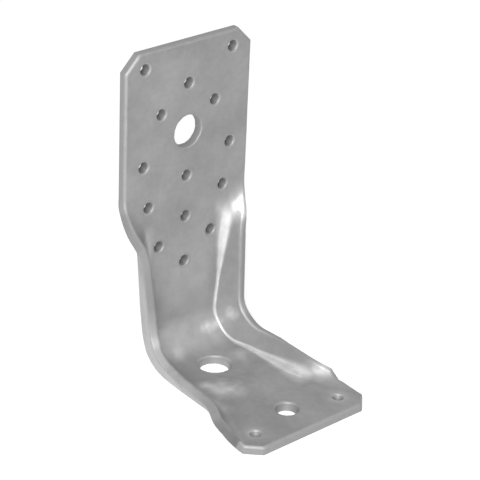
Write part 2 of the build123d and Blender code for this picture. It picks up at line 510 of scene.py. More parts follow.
class PressedStrip:
    """Middle surface of the pressed sheet.

    Points are (x, d, z): across, depth forward from the back face, and height. Flat places are
    (u, v): u across, measured over the root, and v along from the middle of the heel. The class's
    constants say how finely the corner's edge is followed, over what step slopes are taken, and
    in how many rounds places are brought onto the surface.
    """

    STATIONS = 801
    ARC_POINTS = 60
    LINE_POINTS = 30
    SLOPE_STEP = 0.02
    SIDE_STEP = 0.01
    SNAP_ROUNDS = 5
    SIDE_ROUNDS = 12
    TRIM_ROUNDS = 3

    def __init__(self, strip: StripSizes) -> None:
        """Sets up the facets, the root lines and the stations of the corner.

        Args:
            strip: Sizes of the strip.
        """
        self.strip = strip
        self.upright = RootLine(Leg.UPRIGHT, strip.upright, strip)
        self.foot = RootLine(Leg.FOOT, strip.foot, strip)
        self.legs = (self.upright, self.foot)
        self.flanges = tuple(line.facet(run_out=False) for line in self.legs)
        self.run_outs = tuple(line.facet(run_out=True) for line in self.legs)
        self.top = self.place_of(strip.upright.length, Leg.UPRIGHT)
        self.front = self.place_of(strip.foot.length, Leg.FOOT)
        self.half_span = self.place_of(strip.corner_reach, Leg.UPRIGHT)
        self.stations = np.linspace(-self.half_span, self.half_span, self.STATIONS)
        root, edge = self._corner_root(self.stations), self._corner_edge()
        self.station_edge = follow(run_shares(root), run_shares(edge), edge)

    def along(self, v: np.ndarray) -> np.ndarray:
        """Distance from the outer heel line along the leg."""
        return self.strip.heel_start + np.abs(v) - self.strip.heel_half

    def place_of(self, along: float, leg: Leg) -> float:
        """Place v of a distance along a leg."""
        v = along - self.strip.heel_start + self.strip.heel_half
        return v if leg is Leg.UPRIGHT else -v

    def curves_at(self, v: float) -> bool:
        """True where the free edge curves sharply."""
        line = self.upright if v > 0 else self.foot
        return line.turns_near(float(self.along(v)))

    def _side_level(self, points: np.ndarray) -> np.ndarray:
        """Level of the two flanges and the mitre between them."""
        return round_max(*(facet.level(points) for facet in self.flanges), self.strip.mitre_blend)

    def _levels(self, points: np.ndarray) -> tuple[np.ndarray, np.ndarray, np.ndarray, np.ndarray]:
        """Takes the surface apart at given places.

        Args:
            points: Places (x, d, z).

        Returns:
            The places on the positive side, the level of the web, that of the flanges, and how
            far the places are beyond the start of the root's growth.
        """
        mirrored = points * np.where(points[..., :1] < 0, [-1.0, 1.0, 1.0], [1.0, 1.0, 1.0])
        strip, (depth, height) = self.strip, (mirrored[..., 1], mirrored[..., 2])
        web = round_max(strip.half_thickness - depth, strip.half_thickness - height, strip.heel_radius)
        beyond = np.maximum(np.maximum(depth, height) - strip.growth_from, 0.0)
        return mirrored, web, self._side_level(mirrored), beyond

    def level(self, points: np.ndarray) -> np.ndarray:
        """Level of places against the pressed surface, above zero outside the angle.

        Args:
            points: Places (x, d, z).

        Returns:
            The levels, zero on the middle surface.
        """
        mirrored, web, side, beyond = self._levels(points)
        for facet in self.run_outs:
            side = -round_max(-side, -facet.level(mirrored), self.strip.end_blend)
        return round_max(web, side, self.strip.root_blend + self.strip.root_growth * beyond)

    def folded(self, points: np.ndarray) -> np.ndarray:
        """Share of the painted highlight along the root folds: how far places of the middle surface are in
        a root fold.

        Args:
            points: Places (x, d, z).

        Returns:
            Shares, 1 at the middle of the fold and 0 off it.
        """
        strip = self.strip
        mirrored, web, side, beyond = self._levels(points)
        kept = np.ones_like(side)
        # The painted highlight fades out past the start of each run-out.
        for facet, line in zip(self.run_outs, self.legs):
            past = strip.fold_highlight_end + facet.level(mirrored) - side
            kept *= np.clip(past / (strip.fold_highlight_end + line.sizes.fold_highlight_lead), 0.0, 1.0)
        reach = strip.fold_highlight_reach + strip.fold_highlight_growth * beyond
        on_flange = (side - web) / (strip.fold_highlight_on_flange * reach)
        off = np.where(side > web, on_flange, (web - side) / reach)
        return kept * np.clip(strip.fold_highlight_body * (1.0 - off), 0.0, 1.0)

    def slope(self, points: np.ndarray) -> np.ndarray:
        """Gradient of the level at places.

        Args:
            points: Places (x, d, z).

        Returns:
            The gradients.
        """
        steps = self.SLOPE_STEP * np.eye(3)
        pairs = [self.level(points + step) - self.level(points - step) for step in steps]
        return np.stack(pairs, -1) / (2 * self.SLOPE_STEP)

    def snapped(self, points: np.ndarray) -> np.ndarray:
        """Brings places onto the pressed surface.

        Args:
            points: Places (x, d, z) near it.

        Returns:
            Places on it.
        """
        for _ in range(self.SNAP_ROUNDS):
            slope = self.slope(points)
            steep = np.maximum((slope * slope).sum(-1), TINY)
            points = points - (self.level(points) / steep)[..., None] * slope
        return points

    def _side_x(self, depth: np.ndarray, height: np.ndarray) -> np.ndarray:
        """Distance across of the flanges over the side view.

        Args:
            depth: Depths forward.
            height: Heights.

        Returns:
            The distances across.
        """
        x = np.full_like(depth, self.strip.half_width / 2)
        for _ in range(self.SIDE_ROUNDS):
            here, beyond = (
                self._side_level(np.stack([x + step, depth, height], -1)) for step in (0.0, self.SIDE_STEP)
            )
            x = x - here * self.SIDE_STEP / (beyond - here)
        return x

    def _corner_root(self, v: np.ndarray) -> np.ndarray:
        """Root line of the flange round the corner.

        Args:
            v: Distances along the strip.

        Returns:
            Places (x, d, z).
        """
        strip = self.strip
        turned = np.clip((v + strip.heel_half) / strip.heel_radius, 0.0, math.pi / 2)
        up, forward = np.maximum(v - strip.heel_half, 0.0), np.maximum(-v - strip.heel_half, 0.0)
        depth = strip.heel_start - strip.heel_radius * np.sin(turned) + forward
        height = strip.heel_start - strip.heel_radius * np.cos(turned) + up
        return np.stack([self._side_x(depth, height), depth, height], -1)

    def _corner_edge(self) -> np.ndarray:
        """Free edge of the flange round the corner, from the foot to the upright.

        Returns:
            Places (x, d, z): a straight, an arc and a straight in side view.
        """
        radius = self.strip.edge_corner_radius
        ends = np.array([0.0, self.strip.corner_reach])
        (up_from, up_to), (low_from, low_to) = (line.edge(ends)[:, 1:] for line in self.legs)
        up_way, low_way = unit(up_to - up_from), unit(low_to - low_from)
        meeting = np.linalg.solve(np.stack([up_way, -low_way], -1), low_from - up_from)
        corner = up_from + meeting[0] * up_way
        half = math.acos(float(up_way @ low_way)) / 2
        centre = corner + unit(up_way + low_way) * radius / math.sin(half)
        first = corner + low_way * radius / math.tan(half) - centre
        last = corner + up_way * radius / math.tan(half) - centre
        total = math.pi - 2 * half
        share = np.linspace(0.0, 1.0, self.ARC_POINTS)[:, None]
        turn = np.sin((1 - share) * total) * first + np.sin(share * total) * last
        arc = centre + turn / math.sin(total)
        line = np.linspace(0.0, 1.0, self.LINE_POINTS)[:, None]
        low = low_to + (arc[0] - low_to) * line[:-1]
        high = arc[-1] + (up_to - arc[-1]) * line[1:]
        side = np.vstack([low, arc, high])
        return np.column_stack([self._side_x(side[:, 0], side[:, 1]), side])

    def lines(self, v: np.ndarray) -> tuple[np.ndarray, np.ndarray]:
        """Sharp root line and free edge at places along the strip.

        Args:
            v: Distances along the strip.

        Returns:
            Points of the root line and of the free edge.
        """
        root = self._corner_root(v)
        edge = follow(v, self.stations, self.station_edge)
        beyond = np.abs(v) >= self.half_span
        for line, mask in ((self.upright, beyond & (v > 0)), (self.foot, beyond & (v < 0))):
            along = self.along(v[mask])
            root[mask, 0] = line.spot(along)[0]
            edge[mask] = line.edge(along)
        return root, edge

    def half_breadth(self, v: np.ndarray) -> np.ndarray:
        """Half the breadth of the strip, measured over the sharp root and kept within the strip.

        Args:
            v: Distances along the strip.

        Returns:
            The half breadths.
        """
        root, edge = self.lines(v)
        breadth = root[:, 0] + np.linalg.norm(edge - root, axis=1)
        for _ in range(self.TRIM_ROUNDS):
            points, normals = self.middle(breadth, v)
            outer = points[:, 0] - normals[:, 0] * self.strip.half_thickness
            breadth = breadth - np.maximum(outer - self.strip.widest, 0.0)
        return breadth

    def middle(self, u: np.ndarray, v: np.ndarray) -> tuple[np.ndarray, np.ndarray]:
        """Middle surface of the sheet.

        Args:
            u: Distances across.
            v: Distances along.

        Returns:
            Points in millimetres, and unit normals to the inside of the angle.
        """
        root, edge = self.lines(v)
        across = np.abs(u)
        rise = edge - root
        width = np.maximum(np.linalg.norm(rise, axis=1), TINY)
        share = np.maximum(across - root[:, 0], 0.0) / width
        root[:, 0] = np.minimum(across, root[:, 0])
        points = self.snapped(root + share[:, None] * rise)
        normals = -unit(self.slope(points))
        mirror = np.where(u < 0, -1.0, 1.0)
        points[:, 0] *= mirror
        normals[:, 0] *= mirror
        return points, normals


# Surface relief


@dataclass(frozen=True)
class Ripple:
    """One faint standing wave of the pressed sheet: height, waves per millimetre, and phase."""

    height: float
    across: float
    along: float
    phase: float


@dataclass(frozen=True)
class SheetRelief:
    """Unevenness of the rolled and punched sheet.

    Attributes:
        ripples: The standing waves.
        dish_depth: How deep the punch has drawn the sheet in at a hole.
        dish_width: How fast that fades away from the hole.
    """

    ripples: tuple[Ripple, ...] = (
        Ripple(0.030, 0.031, 0.017, 0.4),
        Ripple(0.022, -0.024, 0.041, 1.9),
        Ripple(0.014, 0.058, -0.049, 4.1),
        Ripple(0.010, 0.083, 0.071, 2.6),
    )
    dish_depth: float = 0.10
    dish_width: float = 1.1

    def waves(self, flat: np.ndarray) -> np.ndarray:
        """Standing waves.

        Args:
            flat: Flat places.

        Returns:
            Rows of heights, slopes across and slopes along.
        """
        rise = np.zeros((3, len(flat)))
        for ripple in self.ripples:
            turns = 2 * math.pi * np.array([ripple.across, ripple.along])
            angle = flat @ turns + ripple.phase
            rise[0] += ripple.height * np.sin(angle)
            rise[1:] += ripple.height * turns[:, None] * np.cos(angle)
        return rise

    def dishes(self, flat: np.ndarray, rounds: list[tuple[np.ndarray, float]]) -> np.ndarray:
        """Sheet drawn in by the punch round each hole.

        Args:
            flat: Flat places.
            rounds: Flat centre and radius of each hole.

        Returns:
            Rows of depths, slopes across and slopes along.
        """
        sunk = np.zeros((3, len(flat)))
        for centre, radius in rounds:
            way = flat - centre
            gap = np.maximum(np.linalg.norm(way, axis=1), TINY)
            fall = self.dish_depth * np.exp(-np.maximum(gap - radius, 0.0) / self.dish_width)
            sunk[0] += fall
            sunk[1:] += np.where(gap > radius, -fall / self.dish_width, 0.0) / gap * way.T
        return sunk


# The strip laid flat


@dataclass
class Outline:
    """Closed loop of the sheet in flat places.

    Attributes:
        edge: The true edge at the inner face.
        inset: The same, set back by the rim's radius.
        outer_edge: The true edge at the outer face.
        inner_rim: Radius of the rim on the inner face.
        outer_rim: Radius of the rim on the outer face.
        wall_shade: Painted shade on the wall, from 0 to 1.
    """

    edge: np.ndarray
    inset: np.ndarray
    outer_edge: np.ndarray
    inner_rim: float
    outer_rim: float
    wall_shade: float = 0.0


@dataclass
class SheetPlan:
    """The strip laid flat: outlines of its edge and holes, the points between, and triangles.

    Attributes:
        form: The pressed strip that the plan is for.
        holes: The punched holes.
        inner_rim: Radius of the strip's rim on the inner face.
        outer_rim: Radius of the strip's rim on the outer face.
        row_step: Distance between rows of points, and between points of the long sides.
        turn_step: The same along the sides where the free edge curves sharply.
        last_stretch: Least length of a side's last step, in row steps.
        web_step: Distance between the points of a row, on the web.
        flange_step: The same on the flange.
        beside_root: Distances of a row's points from the root line, on either side.
        end_points: Number of points on half an end.
        cut_points: Number of points inside a corner cut.
        clear_of_points: Least distance of the rows' points from those of the outlines.
        clear_of_edge: The same from the set-back side of the strip.
        clear_of_hole: The same from a hole's set-back rim.
        clear_of_end: The same from the set-back ends and corner cuts.
        hole_share: Share of a hole's set-back radius inside which triangles are left out.
        least_area: Twice the area below which a triangle is left out.
    """

    form: PressedStrip
    holes: tuple[Hole, ...]
    inner_rim: float = 1.4
    outer_rim: float = 0.45
    row_step: float = 1.2
    turn_step: float = 0.75
    last_stretch: float = 1.2
    web_step: float = 1.7
    flange_step: float = 1.0
    beside_root: tuple[float, ...] = (0.0, 0.45, 0.9, 1.4, 2.0, 2.7, 3.5, 4.5)
    end_points: int = 19
    cut_points: int = 6
    clear_of_points: float = 0.55
    clear_of_edge: float = 0.3
    clear_of_hole: float = 0.4
    clear_of_end: float = 0.5
    hole_share: float = 0.985
    least_area: float = 1e-9

    def __post_init__(self) -> None:
        """Lays out the outlines, the points of both faces and the triangles."""
        self.outlines = [self._strip_outline(), *(self._hole_outline(hole) for hole in self.holes)]
        self.edge = np.vstack([outline.edge for outline in self.outlines])
        self.outer_edge = np.vstack([outline.outer_edge for outline in self.outlines])
        counts = [len(outline.edge) for outline in self.outlines]
        self.inner_rims = np.repeat([outline.inner_rim for outline in self.outlines], counts)
        self.outer_rims = np.repeat([outline.outer_rim for outline in self.outlines], counts)
        self.wall_shade = np.repeat([outline.wall_shade for outline in self.outlines], counts)
        inset = np.vstack([outline.inset for outline in self.outlines])
        self.flat = np.vstack([inset, self._rows(inset)])
        self.outer_flat = self.flat.copy()
        narrow = (self.outer_rims / self.inner_rims)[:, None]
        self.outer_flat[: len(inset)] = self.outer_edge + (inset - self.edge) * narrow
        self.triangles = self._triangles(counts)

    def round_of(self, hole: Hole) -> tuple[np.ndarray, float]:
        """Flat centre and radius of a hole."""
        return np.array([hole.across, self.form.place_of(hole.along, hole.leg)]), hole.radius

    def _side_places(self) -> np.ndarray:
        """Places of the points along a long side, between the corner cuts.

        Returns:
            Distances v from the top down.
        """
        strip = self.form.strip
        last = self.form.front + strip.foot.corner_cut
        spots = [self.form.top - strip.upright.corner_cut]
        while spots[-1] - self.row_step * self.last_stretch > last:
            step = self.turn_step if self.form.curves_at(spots[-1]) else self.row_step
            spots.append(spots[-1] - step)
        return np.array([*spots[:-1], last])

    def _end(self, place: float, cut: float, way: float, side: np.ndarray) -> tuple[np.ndarray, np.ndarray]:
        """Half an end of the strip with its corner cut, from the middle to the side.

        Args:
            place: Place v of the end.
            cut: Leg of the corner cut.
            way: 1 for the top end, -1 for the front one.
            side: The side's point that the corner cut meets.

        Returns:
            The points, and the same set back by the rim.
        """
        u = np.linspace(0.0, self.form.strip.half_width - cut, self.end_points)
        edge = np.stack([u, np.full_like(u, place)], -1)
        inset = edge - [0.0, way * self.inner_rim]
        inset[-1, 0] -= self._corner_set_back()
        steps = np.linspace(0.0, 1.0, self.cut_points + 2)[1:-1, None]
        slant = edge[-1] + (side - edge[-1]) * steps
        square = self.inner_rim * np.array([1.0, way]) / math.sqrt(2)
        return np.vstack([edge, slant]), np.vstack([inset, slant - square])

    def _corner_set_back(self) -> float:
        """How far the rim's set-back moves a corner of 135 degrees along its sides."""
        return self.inner_rim * math.tan(math.pi / 8)

    def _strip_outline(self) -> Outline:
        """Outline of the whole strip, clockwise from the middle of the top end.

        Returns:
            The outline.
        """
        form, strip = self.form, self.form.strip
        v = self._side_places()
        u = form.half_breadth(v)
        side = np.stack([u, v], -1)
        side_inset = np.stack([u - self.inner_rim, v], -1)
        side_inset[0, 1] -= self._corner_set_back()
        side_inset[-1, 1] += self._corner_set_back()
        top, top_inset = self._end(form.top, strip.upright.corner_cut, 1.0, side[0])
        front, front_inset = self._end(form.front, strip.foot.corner_cut, -1.0, side[-1])
        right = np.vstack([top, side, front[::-1]])
        right_inset = np.vstack([top_inset, side_inset, front_inset[::-1]])
        edge, inset = (np.vstack([half, half[-2:0:-1] * [-1.0, 1.0]]) for half in (right, right_inset))
        return Outline(edge, inset, edge, self.inner_rim, self.outer_rim)

    def _hole_outline(self, hole: Hole) -> Outline:
        """Outline of one hole.

        Args:
            hole: The hole.

        Returns:
            The outline.
        """
        fine_from, coarse, fine = 4.0, 32, 64
        centre, radius = self.round_of(hole)
        count = coarse if radius < fine_from else fine
        angle = np.arange(count) * 2 * math.pi / count
        ring = np.stack([np.cos(angle), np.sin(angle)], -1)
        loops = [centre + ring * (radius + more) for more in (0.0, hole.inner_rim, -hole.taper)]
        return Outline(*loops, hole.inner_rim, hole.outer_rim, hole.wall_shade)

    def _rows(self, inset: np.ndarray) -> np.ndarray:
        """Points between the outlines, in rows that follow the root lines.

        Args:
            inset: Points of the outlines.

        Returns:
            The points.
        """
        form = self.form
        rows = [form.front + self.row_step]
        while rows[-1] < form.top - self.row_step:
            step = self.row_step / 2 if form.curves_at(rows[-1]) else self.row_step
            rows.append(rows[-1] + step)
        places = np.array(rows)
        roots, breadths = form.lines(places)[0][:, 0], form.half_breadth(places)
        points = np.array(
            [
                (way * spot, v)
                for v, root, breadth in zip(rows, roots, breadths)
                for way in (1.0, -1.0)
                for spot in self._row_spots(root, breadth)
                if spot > 0.0 or way > 0.0
            ]
        )
        keep = nearest_gaps(inset, points) > self.clear_of_points
        limit = form.half_breadth(points[:, 1]) - self.inner_rim - self.clear_of_edge
        keep &= np.abs(points[:, 0]) < limit
        keep &= self._inside_ends(points)
        for hole in self.holes:
            centre, radius = self.round_of(hole)
            gap = np.linalg.norm(points - centre, axis=1)
            keep &= gap > radius + hole.inner_rim + self.clear_of_hole
        return points[keep]

    def _row_spots(self, root: float, breadth: float) -> np.ndarray:
        """Distances across of one row's points, on the positive side.

        Args:
            root: Distance of the root line from the middle.
            breadth: Half the breadth of the strip.

        Returns:
            The distances.
        """
        least_flange = 0.5
        last = self.beside_root[-1]
        if breadth - root < least_flange:
            return np.linspace(0.0, root, max(2, round(root / self.web_step)))
        web = np.linspace(0.0, root - last, max(2, round((root - last) / self.web_step)))[:-1]
        beside = [root + way * gap for gap in self.beside_root for way in (-1.0, 1.0)]
        flange = np.arange(root + last + self.flange_step, breadth, self.flange_step)
        return np.unique(np.concatenate([web, beside, flange]))

    def _inside_ends(self, points: np.ndarray) -> np.ndarray:
        """Which flat places lie inside both ends and their corner cuts.

        Args:
            points: Flat places.

        Returns:
            True for those inside.
        """
        form, strip = self.form, self.form.strip
        room = self.inner_rim + self.clear_of_end
        over = np.maximum(points[:, 1] - (form.top - strip.upright.corner_cut), 0.0)
        under = np.maximum(form.front + strip.foot.corner_cut - points[:, 1], 0.0)
        slant = np.abs(points[:, 0]) + over + under < strip.half_width - room * math.sqrt(2)
        plain = (over == 0) & (under == 0)
        ends = (points[:, 1] < form.top - room) & (points[:, 1] > form.front + room)
        return ends & (slant | plain)

    def _triangles(self, counts: list[int]) -> np.ndarray:
        """Triangles of the flat strip, without its holes.

        Args:
            counts: Number of points of each outline.

        Returns:
            Indices of the triangles' corners, anticlockwise over u and v.
        """
        edges, start = [], 0
        for count in counts:
            edges += [(start + i, start + (i + 1) % count) for i in range(count)]
            start += count
        result = delaunay_2d_cdt([Vector(place) for place in self.flat], edges, [], 0, TINY, True)
        source = [ids[0] for ids in result[3]]
        faces = np.array([[source[i] for i in face] for face in result[2]])
        corners = self.flat[faces]
        middle = corners.mean(axis=1)
        keep = self._within(self.outlines[0].inset, middle)
        for hole in self.holes:
            centre, radius = self.round_of(hole)
            rim = self.hole_share * (radius + hole.inner_rim)
            keep &= np.linalg.norm(middle - centre, axis=1) > rim
        faces, corners = faces[keep], corners[keep]
        (a_u, a_v), (b_u, b_v) = ((corners[:, k] - corners[:, 0]).T for k in (1, 2))
        area = a_u * b_v - a_v * b_u
        faces[area < 0] = faces[area < 0][:, ::-1]
        return faces[np.abs(area) > self.least_area]

    @staticmethod
    def _within(loop: np.ndarray, points: np.ndarray) -> np.ndarray:
        """Which flat places are inside a closed loop.

        Args:
            loop: Points of the loop.
            points: Flat places.

        Returns:
            True for those inside.
        """
        inside = np.zeros(len(points), dtype=bool)
        for (x0, y0), (x1, y1) in zip(loop, np.roll(loop, -1, axis=0)):
            crosses = (y0 > points[:, 1]) != (y1 > points[:, 1])
            if y0 != y1:
                at = x0 + (points[:, 1] - y0) * (x1 - x0) / (y1 - y0)
                inside ^= crosses & (points[:, 0] < at)
        return inside


# Wear of the coat, painted highlights and painted shade


@dataclass(frozen=True)
class ScuffAndHighlight:
    """Pale mark on the coat, used both for real abrasions and for painted highlights: place across, forward
    and up from the outer heel, reach and strength.
    """

    across: float
    forward: float
    up: float
    reach: float
    strength: float

    def share(self, points: np.ndarray) -> np.ndarray:
        """How pale the mark leaves places (x, d, z)."""
        gap = points - np.array([self.across, self.forward, self.up])
        return self.strength * np.exp(-(gap * gap).sum(-1) / self.reach**2)


@dataclass(frozen=True)
class SheetWearAndPaintedLight:
    """Where the coat is rubbed, sheared and marked pale, and where highlights and shade are painted on it.

    Attributes:
        rub_start: Distance from an edge up to which the face is fully rubbed.
        rub_reach: How fast the rubbing fades further in.
        outer_rub: Share of the rubbing on the outer face.
        left_fold_highlight: Share of the painted highlight on the left flange's fold.
        heel_light_at: Flat place v of the middle of the painted light over the heel bend.
        heel_light_reach: How far along the strip the heel's painted light reaches.
        wall_top_shade: Share of a hole's painted shade at the top of its wall.
        scuffs_and_highlights: The pale marks: real abrasions and painted highlights.
    """

    rub_start: float = 0.3
    rub_reach: float = 0.55
    outer_rub: float = 0.8
    left_fold_highlight: float = 0.35
    heel_light_at: float = 6.0
    heel_light_reach: float = 36.0
    wall_top_shade: float = 0.2
    scuffs_and_highlights: tuple[ScuffAndHighlight, ...] = (
        # Painted highlights in the heel's corner: at the root, on the heel bend and on the mitre.
        ScuffAndHighlight(17.1, 6.8, 9.6, 3.4, 1.0),
        ScuffAndHighlight(10.7, 7.0, 9.4, 3.7, 1.0),
        ScuffAndHighlight(20.5, 12.4, 15.3, 3.8, 1.0),
        # Pale abrasions in the coat of the foot.
        ScuffAndHighlight(-9.8, 43.3, 4.0, 6.5, 0.75),
        ScuffAndHighlight(-14.5, 37.0, 4.0, 3.0, 0.8),
        # Paler patches near the heel, on the foot and on the left flange.
        ScuffAndHighlight(-9.0, 11.3, 5.6, 8.0, 0.4),
        ScuffAndHighlight(14.4, 26.0, 4.0, 7.0, 0.5),
        ScuffAndHighlight(-22.5, 16.4, 17.9, 2.4, 0.45),
        ScuffAndHighlight(-27.0, 38.0, 12.0, 15.0, 0.22),
        # Painted highlights on the foot's nail holes.
        ScuffAndHighlight(22.5, 76.0, 4.0, 3.6, 0.5),
        ScuffAndHighlight(-22.5, 76.0, 4.0, 3.6, 0.5),
        # Painted highlights on the run-outs of the foot and of the upright.
        ScuffAndHighlight(27.4, 60.2, 7.5, 4.0, 0.85),
        ScuffAndHighlight(27.3, 9.0, 62.6, 5.5, 0.9),
    )

    def layers(self, plan: SheetPlan, rim_steps: int) -> dict[Layer, np.ndarray]:
        """Shares at all points of the mesh: both faces, then the rings that close the sheet.

        Args:
            plan: The strip laid flat.
            rim_steps: Number of rings on each rim.

        Returns:
            The values of each layer.
        """
        count, around = len(plan.flat), len(plan.edge)
        none, rings = np.zeros(count), np.ones((2 * rim_steps, around))
        off = np.zeros_like(rings)
        middle, _normal = plan.form.middle(plan.flat[:, 0], plan.flat[:, 1])
        gap = nearest_gaps(plan.edge, plan.flat)
        rubbed = np.exp(-np.maximum(gap - self.rub_start, 0.0) / self.rub_reach)
        # Painted highlight along the root folds, weaker on the left flange.
        fold = plan.form.folded(middle) * np.where(plan.flat[:, 0] < 0, self.left_fold_highlight, 1.0)
        # Painted light over the heel bend.
        heel = np.exp(-(((plan.flat[:, 1] - self.heel_light_at) / self.heel_light_reach) ** 2))
        # Real abrasions and painted highlights.
        scuff_and_highlight = np.clip(sum(mark.share(middle) for mark in self.scuffs_and_highlights), 0.0, 1.0)
        wall_top, wall_foot = rim_steps - 1, rim_steps
        sheared, deep = np.zeros((2, 2 * rim_steps, 1))
        sheared[[wall_top, wall_foot]] = 1.0
        # Painted shade in the holes: faint at the top of the wall, full below.
        deep[wall_top] = self.wall_top_shade
        deep[wall_foot:] = 1.0
        shares = {
            Layer.RIM: (rubbed, rubbed * self.outer_rub, rings),
            Layer.WALL: (none, none, rings * sheared),
            Layer.FOLD: (fold, fold, off),
            Layer.HEEL: (heel, heel, off),
            Layer.SCUFF: (scuff_and_highlight, none, rings * scuff_and_highlight[:around]),
            Layer.BORE: (none, none, deep * plan.wall_shade),
        }
        return {layer: np.concatenate([a, b, c.ravel()]) for layer, (a, b, c) in shares.items()}


# The sheet


@dataclass
class BracketSheet:
    """The bracket's one piece of sheet steel, with rounded rims, sheared edges and punched holes.

    Attributes:
        strip: Sizes of the strip.
        punched: Places of the holes.
        relief: Unevenness of the sheet.
        wear_and_light: Worn places of the coat, with its painted highlights and painted shade.
        rim_steps: Number of rings of points on each rim.
        probe: Distance along the strip over which its heading is measured.
    """

    strip: StripSizes = field(default_factory=StripSizes)
    punched: HolePlan = field(default_factory=HolePlan)
    relief: SheetRelief = field(default_factory=SheetRelief)
    wear_and_light: SheetWearAndPaintedLight = field(default_factory=SheetWearAndPaintedLight)
    rim_steps: int = 4
    probe: float = 0.05

    def build(self) -> bpy.types.Object:
        """Builds the sheet.

        Returns:
            The mesh object, in metres in the row frame.
        """
        self.form = PressedStrip(self.strip)
        self.plan = SheetPlan(self.form, self.punched.holes(self.strip))
        inner, inner_out = self._face(self.plan.flat, Side.INNER)
        outer, outer_out = self._face(self.plan.outer_flat, Side.OUTER)
        rings, rings_out = self._rings(inner, outer)
        points = np.vstack([inner, outer, *rings])
        normals = np.vstack([inner_out, outer_out, *rings_out])
        mesh = self._mesh(points, normals, self._faces())
        # Worn places, painted highlights and painted shade, kept at the mesh's points.
        for layer, values in self.wear_and_light.layers(self.plan, self.rim_steps).items():
            stored = mesh.attributes.new(layer.value, "FLOAT", "POINT")
            stored.data.foreach_set("value", values.astype(np.float32))
        body = bpy.data.objects.new("bracket_sheet", mesh)
        bpy.context.scene.collection.objects.link(body)
        LOG.info("bracket_sheet: %d points, %d faces", len(mesh.vertices), len(mesh.polygons))
        return body

    def _face(self, flat: np.ndarray, side: Side) -> tuple[np.ndarray, np.ndarray]:
        """Places and normals of one face of the sheet.

        Args:
            flat: Flat places.
            side: Which face.

        Returns:
            Points in millimetres and unit normals out of the sheet.
        """
        middle, normal = self.form.middle(flat[:, 0], flat[:, 1])
        if side is Side.OUTER:
            return middle - normal * self.strip.half_thickness, -normal
        ahead, _normal = self.form.middle(flat[:, 0], flat[:, 1] + self.probe)
        along = without(ahead - middle, normal)
        across = np.cross(normal, along)
        rounds = [self.plan.round_of(hole) for hole in self.plan.holes]
        rise = self.relief.waves(flat) - self.relief.dishes(flat, rounds)
        height, slope_across, slope_along = rise[..., None]
        points = middle + normal * (self.strip.half_thickness + height)
        return points, unit(normal - across * slope_across - along * slope_along)

    def _rings(self, inner: np.ndarray, outer: np.ndarray) -> tuple[list[np.ndarray], list[np.ndarray]]:
        """Rings of points that close the sheet, down the inner rim and the outer one.

        Args:
            inner: Points of the inner face.
            outer: Points of the outer face.

        Returns:
            The rings' points and their normals.
        """
        plan = self.plan
        inner_near, outer_near = inner[: len(plan.edge)], outer[: len(plan.edge)]
        inner_edge, _out = self._face(plan.edge, Side.INNER)
        outer_edge, _out = self._face(plan.outer_edge, Side.OUTER)
        through = unit(inner_edge - outer_edge)
        outward = without(inner_edge - inner_near, through)
        angles = math.pi / 2 * np.arange(1, self.rim_steps + 1) / self.rim_steps
        rings, normals = [], []
        for near, edge, rims, way, turns in (
            (inner_near, inner_edge, plan.inner_rims, 1.0, angles),
            (outer_near, outer_edge, plan.outer_rims, -1.0, angles[::-1]),
        ):
            for angle in turns:
                slide = near + (edge - near) * math.sin(angle)
                rings.append(slide - way * through * rims[:, None] * (1 - math.cos(angle)))
                normals.append(outward * math.sin(angle) + way * through * math.cos(angle))
        return rings, normals

    def _faces(self) -> list[tuple[int, ...]]:
        """Triangles of both faces and four-sided faces of the rims and walls.

        Returns:
            Indices of the faces' corners.
        """
        count, around = len(self.plan.flat), len(self.plan.edge)
        inner = [tuple(face) for face in self.plan.triangles.tolist()]
        outer = [(c + count, b + count, a + count) for a, b, c in inner]
        sides = {side for a, b, c in inner for side in ((a, b), (b, c), (c, a))}
        ring_starts = [2 * count + k * around for k in range(2 * self.rim_steps)]
        walls = []
        for a, b in sorted(sides):
            if (b, a) not in sides:
                one, two = ([i, *(start + i for start in ring_starts), i + count] for i in (a, b))
                walls += zip(two[:-1], one[:-1], one[1:], two[1:])
        return [*inner, *outer, *walls]

    def _mesh(
        self, points: np.ndarray, normals: np.ndarray, faces: list[tuple[int, ...]]
    ) -> bpy.types.Mesh:
        """Sets the sheet in the row frame.

        Args:
            points: Places (x, d, z) in millimetres.
            normals: Their normals.
            faces: Indices of the faces' corners.

        Returns:
            The mesh.
        """
        backwards = np.array([1.0, -1.0, 1.0])
        middle = np.array([0.0, self.strip.foot.length / 2, 0.0])
        mesh = bpy.data.meshes.new("bracket_sheet")
        mesh.from_pydata(((points * backwards + middle) * MILLIMETRE).tolist(), [], faces)
        mesh.update()
        mesh.shade_smooth()
        mesh.normals_split_custom_set_from_vertices((normals * backwards).tolist())
        return mesh


# Finishes


def grey(level: float) -> Colour:
    """Grey of a linear level."""
    return (level, level, level, 1.0)


